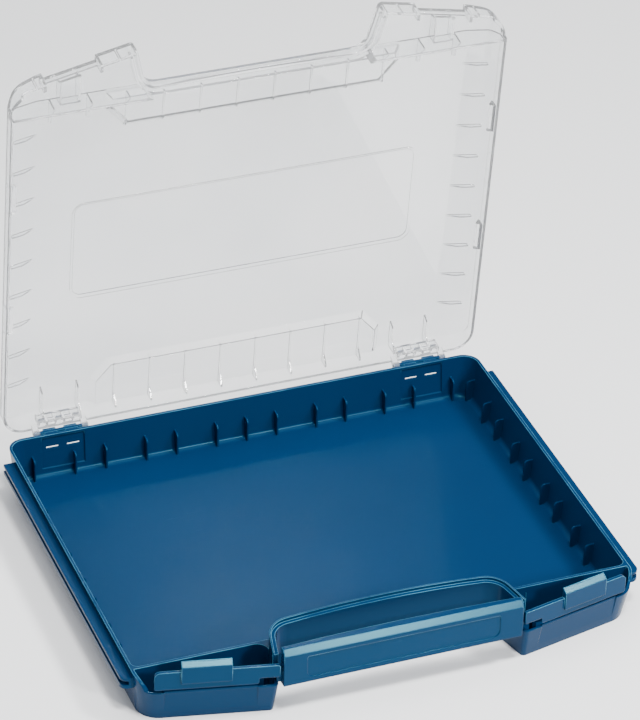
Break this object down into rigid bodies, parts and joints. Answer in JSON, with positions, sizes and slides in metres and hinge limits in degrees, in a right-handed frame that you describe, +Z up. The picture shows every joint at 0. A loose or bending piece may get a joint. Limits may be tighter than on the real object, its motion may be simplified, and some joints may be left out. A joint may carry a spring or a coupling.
{
  "type": "tool case",
  "caption": "Flat tool case with a ribbed blue tray, a clear hinged lid, two front latches, a front handle and side rails for a rack.",
  "frame": {"origin": "centre of the face the case stands on, midway between the sides and near midway front to rear", "axes": "+X to the right seen from the front, +Y to the rear where the hinge is, +Z up"},
  "size_m": [0.363, 0.3261, 0.338],
  "materials": {
    "case_blue": "fine satin moulding",
    "clear_lid": "clear polished moulding"
  },
  "bodies": {
    "case_base": {"base_tray": "case_blue", "front_handle": "case_blue", "hinge_pin_left": "case_blue", "hinge_pin_right": "case_blue", "latch_pin_left": "case_blue", "latch_pin_right": "case_blue"},
    "lid": {"lid_shell": "clear_lid"},
    "left_latch": {"latch_left": "case_blue"},
    "right_latch": {"latch_right": "case_blue"}
  },
  "joints": [
    {"name": "lid_hinge", "type": "hinge", "parent": "case_base", "child": "lid", "pos_m": [0, 0.135, 0.0327], "axis": [1, 0, 0], "range_deg": [0, 83.87]},
    {"name": "left_latch_pivot", "type": "hinge", "parent": "case_base", "child": "left_latch", "pos_m": [-0.12485, -0.15682, 0.0292], "axis": [0.9767, -0.2147, 0], "range_deg": [-5, 35]},
    {"name": "right_latch_pivot", "type": "hinge", "parent": "case_base", "child": "right_latch", "pos_m": [0.12485, -0.15682, 0.0292], "axis": [0.9767, 0.2147, 0], "range_deg": [-5, 35]}
  ]
}
